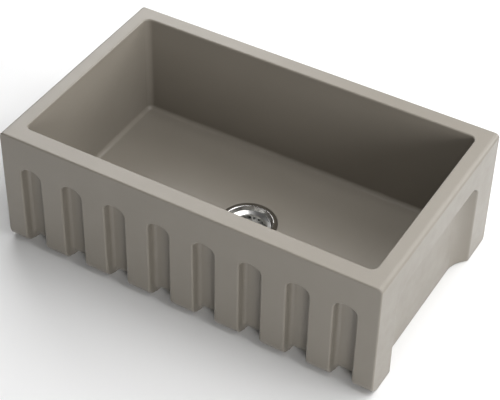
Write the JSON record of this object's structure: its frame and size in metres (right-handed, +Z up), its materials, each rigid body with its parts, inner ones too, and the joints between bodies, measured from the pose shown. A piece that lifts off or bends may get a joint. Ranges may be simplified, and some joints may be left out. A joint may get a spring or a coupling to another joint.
{
  "type": "farmhouse apron front sink",
  "caption": "Single-bowl fireclay kitchen sink with a fluted apron front, arched recesses in its sides, and a basket strainer waste with a lift-out basket and stopper.",
  "frame": {"origin": "on the drain's axis, on the plane of the sink's underside, which rests on the cabinet", "axes": "+X to the right of a person who faces the apron, -Y out of the apron, +Z up"},
  "size_m": [0.76, 0.461, 0.396],
  "materials": {
    "fireclay": "matt fired clay in a warm taupe, very finely grained",
    "polished_steel": "polished stainless steel",
    "steel": "pressed stainless steel",
    "plated_zinc": "satin plated die casting",
    "plated_brass": "chrome plated brass",
    "rubber": "moulded black rubber",
    "fibre": "pressed fibre board"
  },
  "bodies": {
    "sink": {"sink_basin": "fireclay", "flange_seal": "rubber", "strainer_body": "polished_steel", "outlet_spud": "steel", "outlet_cross": "steel", "sealing_washer": "rubber", "friction_ring": "fibre", "lock_nut": "plated_zinc", "tail_washer": "rubber", "coupling_nut": "plated_brass", "tailpiece": "plated_brass"},
    "basket": {"basket_cup": "polished_steel", "basket_collar": "polished_steel"},
    "clip": {"detent_ring": "steel"},
    "stopper": {"stem": "polished_steel", "knob": "polished_steel", "stopper_plate": "steel", "stopper_seal": "rubber", "stem_washer": "steel", "stem_nut": "steel"}
  },
  "joints": [
    {"name": "basket_lift", "type": "slide", "parent": "sink", "child": "basket", "axis": [0, 0, 1], "range_m": [0, 0.29]},
    {"name": "stem_turn", "type": "hinge", "parent": "basket", "child": "clip", "pos_m": [0, 0, 0], "axis": [0, 0, 1], "continuous": true},
    {"name": "stopper_travel", "type": "slide", "parent": "clip", "child": "stopper", "axis": [0, 0, 1], "range_m": [0, 0.008]}
  ]
}
